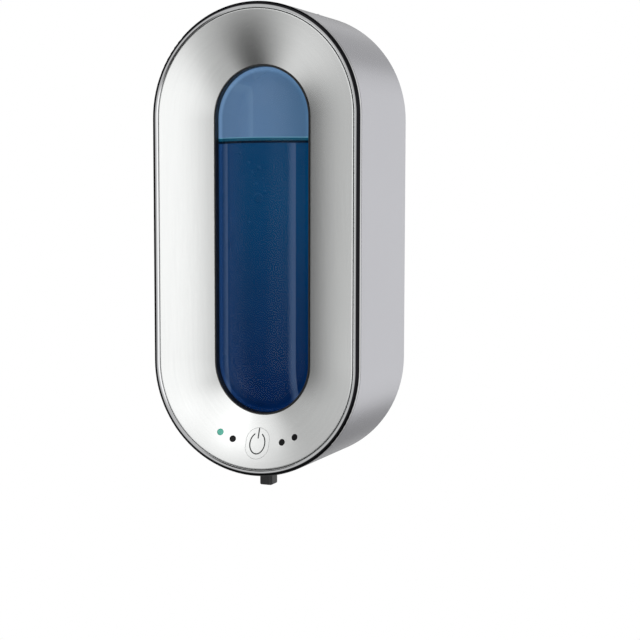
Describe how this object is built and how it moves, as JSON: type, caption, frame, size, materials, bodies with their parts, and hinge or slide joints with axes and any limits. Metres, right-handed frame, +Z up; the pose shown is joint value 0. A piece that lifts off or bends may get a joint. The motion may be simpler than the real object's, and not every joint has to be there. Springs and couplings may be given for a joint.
{
  "type": "wall mounted soap dispenser",
  "caption": "Racetrack-shaped touch-free liquid soap dispenser that hooks on a wall plate, with a dished steel front, a bulged tank window, a fill lid and a gear pump.",
  "frame": {"origin": "middle of the screw pattern on the wall face of the wall plate", "axes": "+X to the right seen from the front, +Y into the wall, +Z up"},
  "size_m": [0.134, 0.082, 0.2884],
  "materials": {
    "trim_chrome": "polished",
    "bezel_steel": "satin",
    "shell_satin": "satin",
    "tank_clear": "gloss",
    "soap_blue": "gloss",
    "black_rubber": "matte",
    "black_plastic": "satin",
    "frame_plastic": "matte",
    "white_plastic": "matte",
    "lens_green": "gloss",
    "lens_dark": "gloss",
    "zinc_steel": "satin",
    "spring_steel": "gloss",
    "magnet_iron": "matte",
    "board_green": "satin",
    "battery_wrap": "gloss",
    "hose_silicone": "satin",
    "lead_wire": "satin",
    "gear_white": "satin"
  },
  "bodies": {
    "wall_plate": {"wall_plate": "frame_plastic"},
    "fill_lid": {"fill_lid": "shell_satin", "lid_gasket": "black_rubber"},
    "battery_door": {"battery_door": "shell_satin", "door_contacts": "spring_steel"},
    "power_button": {"power_button": "bezel_steel", "button_plunger": "white_plastic"},
    "drive_rotor": {"motor_shaft": "spring_steel", "armature": "magnet_iron", "drive_gear": "gear_white"},
    "idler": {"idler_gear": "gear_white"},
    "check_ball": {"check_ball": "spring_steel"},
    "housing": {"side_shell": "shell_satin", "lid_hinge_pin": "spring_steel", "door_hinge_pin": "spring_steel", "trim_ring": "trim_chrome", "shell_gasket": "black_rubber", "front_bezel": "bezel_steel", "button_guide": "frame_plastic", "button_spring": "spring_steel", "front_carrier": "frame_plastic", "window_seal": "black_rubber", "tank_front": "tank_clear", "tank_gasket": "black_rubber", "tank_rear": "tank_clear", "liquid_soap": "soap_blue", "tank_screws": "zinc_steel", "fill_tray": "frame_plastic", "indicator_lens_lit": "lens_green", "indicator_lenses_dark": "lens_dark", "control_board": "board_green", "board_components": "black_plastic", "board_screws": "zinc_steel", "tact_switch": "black_plastic", "sensor_window": "lens_dark", "infrared_pair": "lens_dark", "sensor_board": "board_green", "nozzle": "black_plastic", "nozzle_gasket": "black_rubber", "valve_seat": "white_plastic", "check_spring": "spring_steel", "battery_box": "white_plastic", "batteries": "battery_wrap", "battery_contacts": "spring_steel", "motor_can": "zinc_steel", "motor_end_cap": "white_plastic", "motor_magnets": "magnet_iron", "idler_pin": "spring_steel", "pump_body": "white_plastic", "pump_cover": "white_plastic", "pump_screws": "zinc_steel", "motor_clamp": "frame_plastic", "outlet_fitting": "white_plastic", "suction_hose": "hose_silicone", "pressure_hose": "hose_silicone", "motor_leads": "lead_wire", "battery_leads": "lead_wire", "back_cover": "frame_plastic", "back_cover_screws": "zinc_steel"}
  },
  "joints": [
    {"name": "lift_off", "type": "slide", "parent": "wall_plate", "child": "housing", "axis": [0, 0, 1], "range_m": [0, 0.012]},
    {"name": "lid_hinge", "type": "hinge", "parent": "housing", "child": "fill_lid", "pos_m": [0, -0.0106, 0.138], "axis": [-1, 0, 0], "range_deg": [0, 90]},
    {"name": "door_hinge", "type": "hinge", "parent": "housing", "child": "battery_door", "pos_m": [0, -0.0106, -0.138], "axis": [1, 0, 0], "range_deg": [0, 85]},
    {"name": "key_press", "type": "slide", "parent": "housing", "child": "power_button", "axis": [0, 0.9351, -0.3544], "range_m": [0, 0.0008], "stiffness_N_per_m": 1200, "deforming": ["button_spring"]},
    {"name": "motor_spin", "type": "hinge", "parent": "housing", "child": "drive_rotor", "pos_m": [0, -0.0195, -0.04], "axis": [1, 0, 0], "continuous": true},
    {"name": "idler_spin", "type": "hinge", "parent": "housing", "child": "idler", "pos_m": [0, -0.0195, -0.0316], "axis": [1, 0, 0], "continuous": true},
    {"name": "check_ball_lift", "type": "slide", "parent": "housing", "child": "check_ball", "axis": [0, 0, -1], "range_m": [0, 0.0012], "stiffness_N_per_m": 60, "springref_m": -0.001, "deforming": ["check_spring"]}
  ],
  "couplings": [
    {"joint": "idler_spin", "follows": "motor_spin", "ratio": -1}
  ]
}
